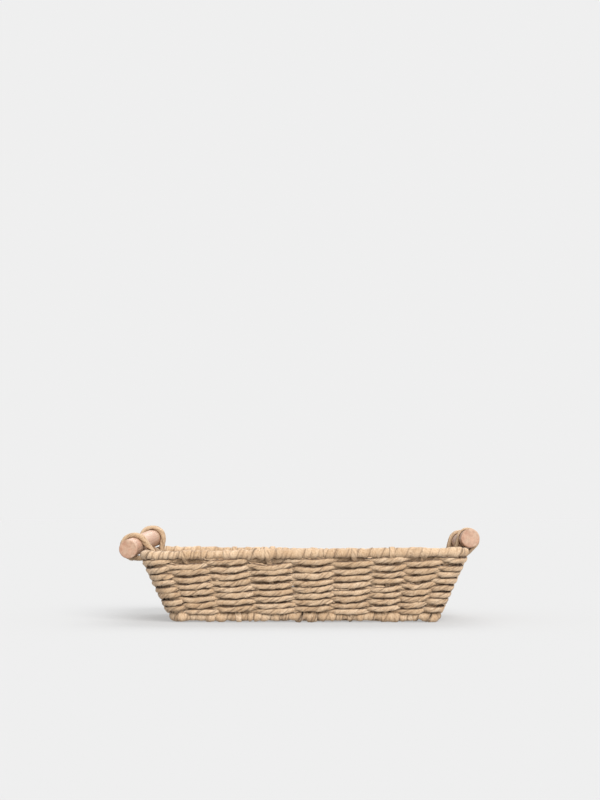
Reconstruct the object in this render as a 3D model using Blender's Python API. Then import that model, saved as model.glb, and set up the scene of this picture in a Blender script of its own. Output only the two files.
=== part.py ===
"""Rectangular bread basket: paper rope woven on a wire frame, with a wooden dowel lashed to each end.

Metres, +Z up. +X runs along the basket's length and +Y from its front wall to its back wall. The origin
is on the surface that the basket stands on, under the middle of its whole length with the handles.
"""

import math

import bmesh
import bpy
from mathutils import Matrix, Vector

GAP = 0.0003  # left between pieces that touch
BASKET_X = 0.0032  # the middle of the base, seen from the origin: the handles don't stand out equally far
UP = Vector((0.0, 0.0, 1.0))

# Wire frame. Half sizes and corner radii are those of the wires' centrelines.
RIM_HALF_X = 0.161
RIM_HALF_Y = 0.096
RIM_CORNER = 0.014
RIM_Z = 0.0689
# The rim is a little warped: how far each of its corners, at the sides x and y, lies above RIM_Z.
RIM_CORNER_LIFT = {(-1, -1): -0.001, (1, -1): 0.0025, (1, 1): -0.0035, (-1, 1): 0.0005}
BASE_HALF_X = 0.133
BASE_HALF_Y = 0.068
BASE_CORNER = 0.012
BASE_Z = 0.00525
WIRE_RADIUS = 0.00175
WIRE_SIDES = 8
POST_RADIUS = 0.001
POST_SIDES = 6
CORNER_STEPS = 4

# Paper rope wound along the rim wire and along the base wire, open in a seam where the corner posts come in.
RIM_WRAP_RADIUS = 0.004
BASE_WRAP_RADIUS = 0.0035
WRAP_BORE_RADIUS = 0.00225
WRAP_SEAM_HALF_ANGLE = math.radians(35)
WRAP_FACETS = 7

# Stakes: the upright ropes. Positions are distances along a wall from its middle, at the rim and at the base.
# The front wall's were set by eye and aren't evenly spaced; the back wall's lie opposite them.
FRONT_STAKES = [
    (-0.1195, -0.1040),
    (-0.0780, -0.0665),
    (-0.0365, -0.0285),
    (0.0090, 0.0100),
    (0.0495, 0.0460),
    (0.0870, 0.0800),
    (0.1195, 0.1060),
]
BACK_STAKES = [(-at_rim, -at_base) for at_rim, at_base in reversed(FRONT_STAKES)]
END_WALL_STAKES = [(k * 0.022, k * 0.0156) for k in (-3, -1, 1, 3)]
STAKE_WIDTH = 0.0034
STAKE_THICKNESS = 0.0024
STAKE_BEND_THICKNESS = 0.0016
STAKE_FOLD_THICKNESS = 0.0012
RIM_FOLD_RADIUS = 0.0052
BASE_FOLD_RADIUS = 0.00465
RIM_FOLD_ANGLES = (205, 160, 115, 70, 25, -20, -60)  # over the rim from the inside, down its outside
RIM_HOOK_ANGLES = (160, 205)  # round the inside only, on the end walls, where the dowel lies on the outside
BASE_FOLD_ANGLES = (30, -15, -55, -90)
BASE_TUCK_ANGLES = (-130, -170)
RIM_APPROACH = 0.0064
BASE_APPROACH = 0.0046
STAKE_STRAIGHT_TOP = 0.058
STAKE_STRAIGHT_BOTTOM = 0.014

# Wall weavers: two ropes that chase each other round the wall, one outside a stake where the other is inside.
ROW_COUNT = 16
ROW_PITCH = 0.00331
FIRST_ROW_Z = 0.0112
ROW_HEIGHT = 0.0028
ROW_THICKNESS = 0.0038
ROW_WAVE = 0.0041
CLIMB_STATIONS = 4  # the last stations of each turn, where a weaver climbs to its next turn
TAIL_STATIONS = 2

# Base weaver: one rope laid to and fro along the base, over and under the cross stakes.
BASE_STAKE_Z = 0.0052
BASE_STAKE_RISE_START = 0.0036
BASE_STAKE_RISE_END = 0.0072
BASE_STRANDS = 22
BASE_STRAND_PITCH = 0.00545
BASE_STRAND_WIDTH = 0.0046
BASE_STRAND_THICKNESS = 0.0028
BASE_STRAND_WAVE = 0.00325
BASE_TURN_X = 0.1224
BASE_TURN_REACH = 0.0027

# Handles. A dowel's centre, at each loop, is given by its angle above the horizontal and its distance from
# the rim wire: the lashings are loose enough to let each dowel lie a little askew.
DOWEL_RADIUS = 0.0095
DOWEL_LENGTH = 0.135
DOWEL_FORWARD = 0.005  # how far its middle lies in front of the middle of its loops
DOWEL_SIDES = 28
DOWEL_BEVEL = 0.0008
LOOP_Y = 0.0445
LOOP_WIDTH = 0.0055
LOOP_RIM_RADII = (0.0044, 0.0062)
LOOP_DOWEL_RADII = (0.0101, 0.0129)
LOOP_RIM_STEPS = 6
LOOP_DOWEL_STEPS = 10
DOWEL_PLACES = {
    "left": {"front": (27, 0.0163), "back": (71, 0.0146)},
    "right": {"front": (62, 0.0152), "back": (54, 0.0143)},
}
END_SIGN = {"left": -1, "right": 1}
LOOP_SIGN = {"front": -1, "back": 1}

MATERIALS = {
    "paper_rope": ((0.52, 0.37, 0.24), 0.85, 0.0),
    "wood": ((0.70, 0.49, 0.36), 0.6, 0.0),
    "steel": ((0.35, 0.35, 0.36), 0.45, 1.0),
}


def clear_scene():
    for old in list(bpy.data.objects):
        bpy.data.objects.remove(old)


def make_material(name):
    color, roughness, metallic = MATERIALS[name]
    material = bpy.data.materials.new(name)
    material.use_nodes = True
    shader = material.node_tree.nodes["Principled BSDF"]
    shader.inputs["Base Color"].default_value = (*color, 1.0)
    shader.inputs["Roughness"].default_value = roughness
    shader.inputs["Metallic"].default_value = metallic
    return material


def add_object(name, mesh, material, smooth=False):
    """Links a mesh into the scene as one named sub-part."""
    mesh.materials.append(material)
    if smooth:
        mesh.shade_smooth()
        mesh.set_sharp_from_angle(angle=math.radians(40))
    part = bpy.data.objects.new(name, mesh)
    bpy.context.scene.collection.objects.link(part)
    return part


def loft(name, rings, closed):
    """A mesh through rings of equally many points. An open one is capped at both ends."""
    shape = bmesh.new()
    loops = [[shape.verts.new(point) for point in ring] for ring in rings]
    count = len(loops[0])
    following = loops[1:] + loops[:1] if closed else loops[1:]
    for ring, after in zip(loops, following):
        for i in range(count):
            j = (i + 1) % count
            shape.faces.new((ring[i], ring[j], after[j], after[i]))
    if not closed:
        shape.faces.new(loops[0])
        shape.faces.new(loops[-1])
    bmesh.ops.recalc_face_normals(shape, faces=shape.faces)
    mesh = bpy.data.meshes.new(name)
    shape.to_mesh(mesh)
    shape.free()
    return mesh


def polar(angle, radius):
    return Vector((math.cos(angle) * radius, math.sin(angle) * radius))


# ---------------------------------------------------------------- the wall, as stations round the basket


def wall_sides():
    """The walls in the order left, front, right, back: outward normal, direction of travel, and sizes."""
    long_wall = ((RIM_HALF_Y, RIM_HALF_X), (BASE_HALF_Y, BASE_HALF_X))
    end_wall = ((RIM_HALF_X, RIM_HALF_Y), (BASE_HALF_X, BASE_HALF_Y))
    for normal, halves, stakes in (
        ((-1, 0, 0), end_wall, END_WALL_STAKES),
        ((0, -1, 0), long_wall, FRONT_STAKES),
        ((1, 0, 0), end_wall, END_WALL_STAKES),
        ((0, 1, 0), long_wall, BACK_STAKES),
    ):
        travel = Vector((-normal[1], normal[0], 0))
        yield Vector(normal), travel, *halves, stakes


def side_point(normal, travel, out, along, z):
    return normal * out + travel * along + UP * z


def corner_point(normal, travel, half, radius, turn, z):
    """A point on the corner that follows a wall, turned by an angle from that wall's end."""
    centre = side_point(normal, travel, half[0] - radius, half[1] - radius, z)
    return centre + (normal * math.cos(turn) + travel * math.sin(turn)) * radius


def rim_lift(x, y):
    """How far the warped rim lies above RIM_Z at a place, going by its four corners."""
    u = x / RIM_HALF_X
    v = y / RIM_HALF_Y
    return sum(lift * (1 + sx * u) * (1 + sy * v) / 4 for (sx, sy), lift in RIM_CORNER_LIFT.items())


def warped(point):
    return point + UP * rim_lift(point.x, point.y)


def stations():
    """Every place round the wall where a weaver changes direction, as dictionaries with its rim point, base
    point, outward normal, direction of travel, and kind: stake, post or bend."""
    found = []

    def add(kind, rim, base, normal, travel):
        found.append({"kind": kind, "rim": rim, "base": base, "normal": normal, "travel": travel})

    for normal, travel, rim_half, base_half, stakes in wall_sides():

        def bend(sign):
            rim = warped(side_point(normal, travel, rim_half[0], sign * (rim_half[1] - RIM_CORNER), RIM_Z))
            base = side_point(normal, travel, base_half[0], sign * (base_half[1] - BASE_CORNER), BASE_Z)
            add("bend", rim, base, normal, travel)

        bend(-1)
        for at_rim, at_base in stakes:
            rim = warped(side_point(normal, travel, rim_half[0], at_rim, RIM_Z))
            base = side_point(normal, travel, base_half[0], at_base, BASE_Z)
            add("stake", rim, base, normal, travel)
        bend(1)
        half_turn = math.radians(45)
        rim = warped(corner_point(normal, travel, rim_half, RIM_CORNER, half_turn, RIM_Z))
        base = corner_point(normal, travel, base_half, BASE_CORNER, half_turn, BASE_Z)
        outward = (normal + travel).normalized()
        add("post", rim, base, outward, Vector((-outward.y, outward.x, 0)))
    return found


def frame_stations():
    """Matching points of the rim and base centrelines, with the outward normal, round all four corners."""
    for normal, travel, rim_half, base_half, _ in wall_sides():
        for step in range(CORNER_STEPS + 1):
            turn = math.radians(90) * step / CORNER_STEPS
            rim = warped(corner_point(normal, travel, rim_half, RIM_CORNER, turn, RIM_Z))
            base = corner_point(normal, travel, base_half, BASE_CORNER, turn, BASE_Z)
            yield rim, base, normal * math.cos(turn) + travel * math.sin(turn)


# ---------------------------------------------------------------- frame and wraps


def wire_ring(name, place):
    """The rim wire or the base wire, closed all the way round."""
    rings = []
    for rim, base, normal in frame_stations():
        centre = rim if place == "rim" else base
        ring = [polar(math.tau * k / WIRE_SIDES, WIRE_RADIUS) for k in range(WIRE_SIDES)]
        rings.append([centre + normal * p.x + UP * p.y for p in ring])
    return loft(name, rings, closed=True)


def wrap_ring(name, place):
    """Rope wound along a wire, as a sleeve whose seam faces along the wall, towards the other wire."""
    rings = []
    outer_radius = RIM_WRAP_RADIUS if place == "rim" else BASE_WRAP_RADIUS
    span = math.tau - 2 * WRAP_SEAM_HALF_ANGLE
    for rim, base, normal in frame_stations():
        centre, other = (rim, base) if place == "rim" else (base, rim)
        towards = other - centre
        seam = math.atan2(towards.z, towards.dot(normal))
        angles = [seam + WRAP_SEAM_HALF_ANGLE + span * k / WRAP_FACETS for k in range(WRAP_FACETS + 1)]
        section = [polar(a, outer_radius) for a in angles]
        section += [polar(a, WRAP_BORE_RADIUS) for a in reversed(angles)]
        rings.append([centre + normal * p.x + UP * p.y for p in section])
    return loft(name, rings, closed=True)


def corner_post(name, station):
    """A thin wire that joins the rim wire to the base wire at a corner."""
    along = (station["rim"] - station["base"]).normalized()
    inset = along * (WIRE_RADIUS + GAP)
    side = station["travel"]
    across = along.cross(side)
    rings = []
    for centre in (station["base"] + inset, station["rim"] - inset):
        ring = [polar(math.tau * k / POST_SIDES, POST_RADIUS) for k in range(POST_SIDES)]
        rings.append([centre + side * p.x + across * p.y for p in ring])
    return loft(name, rings, closed=False)


# ---------------------------------------------------------------- stakes


def stake_profile(station, rim_angles):
    """The wall part of a stake as (point, thickness), from its fold round the rim to its fold at the base."""
    normal, rim, base = station["normal"], station["rim"], station["base"]
    climb = (rim - base) / (RIM_Z - BASE_Z)
    down = (base - rim).normalized()

    def around(centre, degrees, radius):
        p = polar(math.radians(degrees), radius)
        return centre + normal * p.x + UP * p.y

    def on_wall(z):
        return base + climb * (z - BASE_Z)

    path = [(around(rim, a, RIM_FOLD_RADIUS), STAKE_FOLD_THICKNESS) for a in rim_angles]
    path.append((rim + down * RIM_APPROACH, STAKE_BEND_THICKNESS))
    path.append((on_wall(STAKE_STRAIGHT_TOP), STAKE_THICKNESS))
    path.append((on_wall(STAKE_STRAIGHT_BOTTOM), STAKE_THICKNESS))
    path.append((on_wall(BASE_Z + BASE_APPROACH), STAKE_BEND_THICKNESS))
    path += [(around(base, a, BASE_FOLD_RADIUS), STAKE_FOLD_THICKNESS) for a in BASE_FOLD_ANGLES]
    return path


def stake_across_base(station):
    """What follows a stake's fold under the base wire: it runs inwards and rises into the base weave."""
    normal, base = station["normal"], station["base"]
    low = Vector((base.x, base.y, BASE_Z - BASE_FOLD_RADIUS)) - normal * BASE_STAKE_RISE_START
    high = Vector((base.x, base.y, BASE_STAKE_Z)) - normal * BASE_STAKE_RISE_END
    return [(low, STAKE_FOLD_THICKNESS), (high, STAKE_THICKNESS)]


def strip(name, path, width_axis, width):
    """A flat rope along a path that stays square to width_axis, mitred where it bends."""
    points = [point for point, _ in path]
    directions = [(b - a).normalized() for a, b in zip(points, points[1:])]
    rings = []
    for i, (point, thickness) in enumerate(path):
        before = directions[max(i - 1, 0)]
        after = directions[min(i, len(directions) - 1)]
        face = (before + after).normalized().cross(width_axis).normalized()
        mitre = 1 / max(before.dot((before + after).normalized()), 0.5)
        half = face * (thickness / 2 * mitre)
        side = width_axis * (width / 2)
        rings.append([point - half - side, point + half - side, point + half + side, point - half + side])
    return loft(name, rings, closed=False)


def cross_stake(name, front, back):
    """A stake that comes down the front wall, crosses the base and goes up the back wall."""
    half_path = stake_profile(front, RIM_FOLD_ANGLES) + stake_across_base(front)
    other_half = stake_profile(back, RIM_FOLD_ANGLES) + stake_across_base(back)
    return strip(name, half_path + other_half[::-1], front["travel"], STAKE_WIDTH)


def end_stake(name, station):
    """A stake of an end wall, whose lower end is tucked up inside the base wire."""
    path = stake_profile(station, RIM_HOOK_ANGLES)
    for degrees in BASE_TUCK_ANGLES:
        p = polar(math.radians(degrees), BASE_FOLD_RADIUS)
        path.append((station["base"] + station["normal"] * p.x + UP * p.y, STAKE_FOLD_THICKNESS))
    return strip(name, path, station["travel"], STAKE_WIDTH)


# ---------------------------------------------------------------- weavers


def wave_offsets(wall, outside_parity):
    """How far a weaver lies from the middle of the wall at each station: full at stakes and posts, and in
    proportion to the distance between them at the bends."""
    count = len(wall)
    offsets = [None] * count
    fixed = [i for i, s in enumerate(wall) if s["kind"] != "bend"]
    for order, i in enumerate(fixed):
        offsets[i] = ROW_WAVE if order % 2 == outside_parity else -ROW_WAVE
    for i in range(count):
        if offsets[i] is not None:
            continue
        a, b = i - 1, i + 1
        while wall[a % count]["kind"] == "bend":
            a -= 1
        while wall[b % count]["kind"] == "bend":
            b += 1
        to_a = (wall[i]["rim"] - wall[a % count]["rim"]).length
        to_b = (wall[i]["rim"] - wall[b % count]["rim"]).length
        share = to_a / (to_a + to_b)
        offsets[i] = offsets[a % count] * (1 - share) + offsets[b % count] * share
    return offsets


def climb_shares(wall):
    """How much of the climb to the next turn a weaver has made at each station of a turn."""
    count = len(wall)
    start = count - CLIMB_STATIONS
    lengths = [(wall[(i + 1) % count]["rim"] - wall[i]["rim"]).length for i in range(start, count)]
    shares = [0.0] * (start + 1)
    for k in range(1, CLIMB_STATIONS):
        shares.append(sum(lengths[:k]) / sum(lengths))
    return shares


def wall_weaver(name, wall, first_z, outside_parity, lead_in, run_out):
    """One of the two wall weavers, as a rope that climbs two rows at the end of each turn."""
    count = len(wall)
    offsets = wave_offsets(wall, outside_parity)
    shares = climb_shares(wall)
    turns = ROW_COUNT // 2
    last = turns * count - CLIMB_STATIONS + run_out
    rings = []
    for step in range(-lead_in, last + 1):
        turn, at = divmod(step, count)
        share = shares[at] if 0 <= turn < turns - 1 else 0.0
        z = first_z + 2 * ROW_PITCH * (max(turn, 0) + share)
        station = wall[at]
        climb = (station["rim"] - station["base"]) / (RIM_Z - BASE_Z)
        centre = station["base"] + climb * (z - BASE_Z) + station["normal"] * offsets[at]
        across = station["normal"] * (ROW_THICKNESS / 2)
        upright = climb * (ROW_HEIGHT / 2)
        rings.append([
            centre - across - upright,
            centre + across - upright,
            centre + across + upright,
            centre - across + upright,
        ])
    return loft(name, rings, closed=False)


def base_weaver(name):
    """The rope that fills the base, laid to and fro along X."""
    xs = [at_base for _, at_base in FRONT_STAKES]
    rings = []

    def add(x, y, lift, heading):
        centre = Vector((x, y, BASE_STAKE_Z + lift))
        side = Vector((-heading.y, heading.x, 0)) * (BASE_STRAND_WIDTH / 2)
        half = UP * (BASE_STRAND_THICKNESS / 2)
        rings.append([centre - side - half, centre + side - half, centre + side + half, centre - side + half])

    for strand in range(BASE_STRANDS):
        y = (strand - (BASE_STRANDS - 1) / 2) * BASE_STRAND_PITCH
        sign = 1 if strand % 2 == 0 else -1
        heading = Vector((sign, 0, 0))
        add(-sign * BASE_TURN_X, y, 0.0, heading)
        for order, x in enumerate(xs[::sign]):
            over = (order + strand) % 2 == 0
            add(x, y, BASE_STRAND_WAVE if over else -BASE_STRAND_WAVE, heading)
        add(sign * BASE_TURN_X, y, 0.0, heading)
        if strand < BASE_STRANDS - 1:
            turn_x = sign * (BASE_TURN_X + BASE_TURN_REACH)
            add(turn_x, y + BASE_STRAND_PITCH / 2, 0.0, Vector((0, 1, 0)))
    return loft(name, rings, closed=False)


# ---------------------------------------------------------------- handles


def dowel_centre(end, loop):
    """The dowel's centre in the plane of one of its loops, measured from the handle's pivot."""
    degrees, distance = DOWEL_PLACES[end][loop]
    p = polar(math.radians(degrees), distance)
    return Vector((END_SIGN[end] * p.x, LOOP_SIGN[loop] * LOOP_Y, p.y))


def dowel_axis(end):
    return dowel_centre(end, "back") - dowel_centre(end, "front")


def dowel(name, material):
    shape = bmesh.new()
    bmesh.ops.create_cone(
        shape,
        cap_ends=True,
        segments=DOWEL_SIDES,
        radius1=DOWEL_RADIUS,
        radius2=DOWEL_RADIUS,
        depth=DOWEL_LENGTH,
    )
    ends = [edge for edge in shape.edges if abs(edge.verts[0].co.z - edge.verts[1].co.z) < GAP]
    bmesh.ops.bevel(shape, geom=ends, offset=DOWEL_BEVEL, segments=1, affect="EDGES")
    mesh = bpy.data.meshes.new(name)
    shape.to_mesh(mesh)
    shape.free()
    return add_object(name, mesh, material, smooth=True)


def belt(rim_radius, dowel_radius, towards_dowel):
    """The outline of a belt round the rim, at (0, 0), and the dowel, at towards_dowel."""
    distance = towards_dowel.length
    heading = math.atan2(towards_dowel.y, towards_dowel.x)
    tangent = math.acos((rim_radius - dowel_radius) / distance)
    outline = []
    for k in range(LOOP_DOWEL_STEPS + 1):
        angle = heading - tangent + 2 * tangent * k / LOOP_DOWEL_STEPS
        outline.append(towards_dowel + polar(angle, dowel_radius))
    for k in range(LOOP_RIM_STEPS + 1):
        angle = heading + tangent + (math.tau - 2 * tangent) * k / LOOP_RIM_STEPS
        outline.append(polar(angle, rim_radius))
    return outline


def handle_loop(name, end, loop):
    """The lashing that holds a dowel to the rim, as a band round both, measured from the handle's pivot."""
    axis = dowel_axis(end)
    middle = dowel_centre(end, loop)
    faces = []
    for side in (-1, 1):
        shift = axis * (side * LOOP_WIDTH / 2 / axis.y)
        centre = middle + shift
        towards = Vector((centre.x, centre.z))
        inner = belt(LOOP_RIM_RADII[0], LOOP_DOWEL_RADII[0], towards)
        outer = belt(LOOP_RIM_RADII[1], LOOP_DOWEL_RADII[1], towards)
        faces.append([[Vector((p.x, centre.y, p.y)) for p in outline] for outline in (inner, outer)])
    (near_inner, near_outer), (far_inner, far_outer) = faces
    rings = [list(ring) for ring in zip(near_inner, far_inner, far_outer, near_outer)]
    return loft(name, rings, closed=True)


def handle(end, rope, wood):
    """A dowel and its loops, on an empty at the pivot that they swing about, with Y along the end bar."""
    x = END_SIGN[end] * RIM_HALF_X
    rise = rim_lift(x, RIM_HALF_Y) - rim_lift(x, -RIM_HALF_Y)
    pivot = bpy.data.objects.new(end + "_handle_pivot", None)
    pivot.location = warped(Vector((x, 0, RIM_Z)))
    pivot.rotation_euler.x = math.atan2(rise, 2 * RIM_HALF_Y)
    bpy.context.scene.collection.objects.link(pivot)
    for loop in LOOP_SIGN:
        name = f"{end}_{loop}_loop"
        part = add_object(name, handle_loop(name, end, loop), rope)
        part.parent = pivot
    axis = dowel_axis(end)
    stick = dowel(end + "_dowel", wood)
    stick.parent = pivot
    stick.rotation_mode = "QUATERNION"
    stick.rotation_quaternion = axis.to_track_quat("Z", "Y")
    middle = (dowel_centre(end, "front") + dowel_centre(end, "back")) / 2
    stick.location = middle - axis.normalized() * DOWEL_FORWARD


# ---------------------------------------------------------------- assembly


def build():
    clear_scene()
    rope, wood, steel = (make_material(name) for name in MATERIALS)
    wall = stations()
    stakes = [s for s in wall if s["kind"] == "stake"]
    left, front, right, back = stakes[:4], stakes[4:11], stakes[11:15], stakes[15:]

    for place in ("rim", "base"):
        add_object(place + "_wire", wire_ring(place + "_wire", place), steel, smooth=True)
        add_object(place + "_wrap", wrap_ring(place + "_wrap", place), rope, smooth=True)
    posts = [s for s in wall if s["kind"] == "post"]
    for corner, station in zip(("front_left", "front_right", "back_right", "back_left"), posts):
        name = "corner_post_" + corner
        add_object(name, corner_post(name, station), steel)

    for k, (near, far) in enumerate(zip(front, reversed(back)), start=1):
        name = f"cross_stake_{k}"
        add_object(name, cross_stake(name, near, far), rope)
    for end, group in (("left", reversed(left)), ("right", right)):
        for k, station in enumerate(group, start=1):
            name = f"{end}_end_stake_{k}"
            add_object(name, end_stake(name, station), rope)

    weaver_a = wall_weaver("wall_weaver_a", wall, FIRST_ROW_Z, 1, TAIL_STATIONS, 0)
    add_object("wall_weaver_a", weaver_a, rope)
    weaver_b = wall_weaver("wall_weaver_b", wall, FIRST_ROW_Z + ROW_PITCH, 0, 0, TAIL_STATIONS)
    add_object("wall_weaver_b", weaver_b, rope)
    add_object("base_weaver", base_weaver("base_weaver"), rope)

    for end in END_SIGN:
        handle(end, rope, wood)

    origin = bpy.data.objects.new("basket_middle", None)
    bpy.context.scene.collection.objects.link(origin)
    for part in list(bpy.context.scene.objects):
        if part.parent is None and part is not origin:
            part.parent = origin
    origin.location.x = BASKET_X


build()
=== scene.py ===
"""Looks of the bread basket: twisted paper rope, wound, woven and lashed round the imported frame.

Shapes are worked out in millimetres, in the frame's own axes, and turned into metres when a mesh is made.
"""
import math

import bpy
import numpy as np
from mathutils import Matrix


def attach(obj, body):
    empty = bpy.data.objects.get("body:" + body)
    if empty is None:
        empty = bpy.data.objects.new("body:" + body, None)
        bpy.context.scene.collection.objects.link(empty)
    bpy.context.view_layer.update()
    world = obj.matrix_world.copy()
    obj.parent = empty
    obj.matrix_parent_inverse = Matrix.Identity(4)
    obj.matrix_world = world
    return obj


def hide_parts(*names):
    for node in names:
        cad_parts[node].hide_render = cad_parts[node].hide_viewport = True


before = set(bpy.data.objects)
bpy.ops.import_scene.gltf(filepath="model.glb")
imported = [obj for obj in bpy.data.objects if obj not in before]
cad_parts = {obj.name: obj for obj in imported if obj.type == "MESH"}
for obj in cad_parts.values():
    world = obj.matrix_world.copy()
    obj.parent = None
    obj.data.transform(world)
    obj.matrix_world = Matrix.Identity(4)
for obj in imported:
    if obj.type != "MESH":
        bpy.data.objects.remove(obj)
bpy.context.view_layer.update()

MM = 0.001
UP = np.array([0.0, 0.0, 1.0])
TAU = math.tau

# Wire frame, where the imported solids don't say it outright.
WIRE_RADIUS = 1.75
RIM_CORNER = 14.0
BASE_CORNER = 12.0
ARC_STEPS = 10
LOWEST_POINT = 0.03  # no rope reaches below this

# Wall weavers. Places along the wall are counted in stations, one for each stake and corner post.
ROWS = 16
ROW_PITCH = 3.31
FIRST_ROW_Z = 11.2
WEAVER_STEP = 1.2
WEAVER_SIDES = 30
WEAVER_WAVE = 3.9  # how far it swings out of the wall's middle, and in
CROSSING_SHARPNESS = 1.5  # how quickly a weaver changes sides
STRAND_HEIGHT = 6.05  # where it passes a stake
STRAND_DEPTH = 4.1
CROSSING_HEIGHT = 4.5  # where the two weavers change places
STRAND_TAPER = 2.2  # how full a strand stays on its way from the stake to the crossing
STRAND_SLANT = 0.7  # each strand climbs by this much on either side of its stake
STRAND_LIFT = 0.5
STRAND_SAG = 1.6  # how far a strand on the outside hangs down at its stake
FIRST_ROW_DROP = -0.2  # the first row rests on the base edge, so it can't hang lower
INSIDE_GROWTH = 0.07  # a strand on the inside is this share taller, so that less light comes through
CORNER_GROWTH = 0.06  # and at a corner post
CORNER_INSIDE_GROWTH = 0.14  # and on the inside of a corner post
CORNER_INSIDE_PULL = 0.5  # at a corner post the inner strand lies this share closer to the outer one
CORNER_HOLD = 17.5  # from a corner post to the place on the end wall where the weavers change places
CLIMB_STATIONS = 4  # each turn climbs to the next row over the last of its stations
TAIL_STATIONS = 3
WEAVER_A_LAST_RISE = 0.3  # how far the last turn is pushed up against the rim
WEAVER_B_LAST_RISE = 0.8
WEAVER_END_TAPER = 4.0  # a weaver's free ends grow thin over this length
WEAVER_END_START = 0.8

# Wound rope on the rim and the base edge
WRAP_RINGS = 20  # sections in one turn
WRAP_OVERLAP = 0.535  # half its width, as a share of its lead
WRAP_TILT = 0.10  # each turn leans this far on the next one, in radians
WRAP_FLOOR_GAP = 0.5
RIM_WRAP_LEAD = 9.2
RIM_WRAP_RADIUS = 4.4
RIM_WRAP_HALF_THICKNESS = 2.4
BASE_WRAP_LEAD = 10.2
BASE_WRAP_RADIUS = 4.15
BASE_WRAP_HALF_THICKNESS = 2.15
BASE_WRAP_RAISED = 0.75
LASHING_REACH = 8.0  # on either side of a lashing's middle, the rim's rope is pressed flat

# Stakes: flat rope. Each half size is a half thickness and a half width.
FOLD_HALF = (0.85, 2.9)
WALL_HALF = (1.45, 2.7)
RIM_FOLD_RADIUS = 4.95
BASE_FOLD_RADIUS = 4.3
RIM_FOLD_DEGREES = (200, -70)  # over the rim, from the inside to the outside
RIM_TUCK_DEGREES = (150, 225)  # on the inside only, where a dowel lies outside
FOOT_DEGREES = (20, -95)
FOOT_TUCK_DEGREES = (-110, -170)
FOLD_POINTS = 16
FOOT_POINTS = 9
TUCK_POINTS = 5
# Added to the radius of each cross stake's fold over the rim, from left to right: some stand out from the
# rim's rope, most are sunk into it.
FRONT_PROUD = (-0.8, -0.9, 0.1, -0.9, -0.3, 0.4, -0.8)
BACK_PROUD = (-0.7, -0.6, 0.2, -0.8, -0.5, 0.1, 0.3)
SUNK_FOOT = -1.0  # the same at the base, for the odd-numbered cross stakes

# Base
BASE_STAKE_Z = 5.2
BASE_STRANDS = 22
BASE_STRAND_PITCH = 5.85
BASE_STRAND_POINTS = 190
BASE_TURN_X = 124.2  # where the rope turns back
BASE_TURN_FADE = 14.0  # over this length it comes back to the middle height
BASE_TURN_POINTS = 6
BASE_WAVE = 2.9
BASE_HALF_WIDTH = 3.3
BASE_TURN_HALF_WIDTH = 1.7
BASE_HALF_THICKNESS = 1.6

# Dowels and lashings
DOWEL_SIDES = 72
DOWEL_EDGE = 1.1  # radius of the sanded edge
GRAIN_SHIFT = (3.0, 11.0)  # where the grain is read in the noise, away from the dowel's own axis
LASHING_HALF_THICKNESS = {"left_front": 2.3, "left_back": 2.3, "right_front": 1.1, "right_back": 1.9}
LASHING_HALF_WIDTH = 2.9
LASHING_TURN_PLACE = 2.5  # each of the two turns lies this far from the lashing's middle
LASHING_RIM_RADIUS = 5.65
LASHING_RIM_HALF_THICKNESS = 1.05
LASHING_SPREAD = 1.3  # how far the turns part again round the rim

# Camera: the distance from the front of the rim, the height above the floor, and the framing. At the rim's
# distance it looks at a point higher than itself and a little to its left.
CAMERA_BACK = 1500.0
CAMERA_HEIGHT = 105.0
CAMERA_LENS = 67.5
CAMERA_LOOKS_UP = 118.0
CAMERA_LOOKS_LEFT = 4.5
CAMERA_PITCH = math.atan(CAMERA_LOOKS_UP / CAMERA_BACK)
CAMERA_YAW = math.atan(CAMERA_LOOKS_LEFT / CAMERA_BACK)

# Light. The floor glows by what its own reflection lacks, so that it and the world come out alike.
WORLD_LIGHT = 0.864
FLOOR_ALBEDO = 0.24
FLOOR_GLOW = 0.376
FLOOR_REACH = 60.0  # in metres
# Each lamp's name, strength, spread, tilt from straight down, and turn about the vertical, in degrees.
LAMPS = (("top", 2.0, 45, -42, -14), ("front", 4.1, 35, 58, 20))


# ---------------------------------------------------------------- numbers that repeat the same each run


def smooth_noise(x, period, seed):
    """Value noise along x, from -1 to 1."""
    cells = np.asarray(x, float) / period
    low = np.floor(cells).astype(int)
    t = cells - low
    t = t * t * (3 - 2 * t)
    table = np.random.default_rng(seed).uniform(-1, 1, 4096)
    return table[low % 4096] * (1 - t) + table[(low + 1) % 4096] * t


def skin_noise(s, angle, period, cells, seed):
    """Value noise over a rope's skin: along it with a period, and round it in a whole number of cells."""
    table = np.random.default_rng(seed).uniform(-1, 1, (4096, cells))
    u = s / period
    v = angle / TAU * cells
    u0 = np.floor(u).astype(int)
    v0 = np.floor(v).astype(int)
    tu = u - u0
    tv = v - v0
    tu = tu * tu * (3 - 2 * tu)
    tv = tv * tv * (3 - 2 * tv)
    a = table[u0 % 4096, v0 % cells] * (1 - tv) + table[u0 % 4096, (v0 + 1) % cells] * tv
    b = table[(u0 + 1) % 4096, v0 % cells] * (1 - tv) + table[(u0 + 1) % 4096, (v0 + 1) % cells] * tv
    return a * (1 - tu) + b * tu


def unit(vectors):
    return vectors / np.linalg.norm(vectors, axis=-1, keepdims=True)


def run_length(points):
    """Distance along a line of points from its start."""
    steps = np.linalg.norm(np.diff(points, axis=0), axis=1)
    return np.concatenate([[0.0], np.cumsum(steps)])


def resampled(points, step, *others):
    """A line of points at even spacing, with other arrays read at the same places."""
    s = run_length(points)
    count = max(int(round(s[-1] / step)), 2)
    at = np.linspace(0, s[-1], count + 1)
    result = []
    for array in (points, *others):
        array = np.asarray(array, float)
        flat = array.reshape(len(array), -1)
        columns = [np.interp(at, s, column) for column in flat.T]
        result.append(np.stack(columns, axis=1).reshape(len(at), *array.shape[1:]))
    return result


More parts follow.
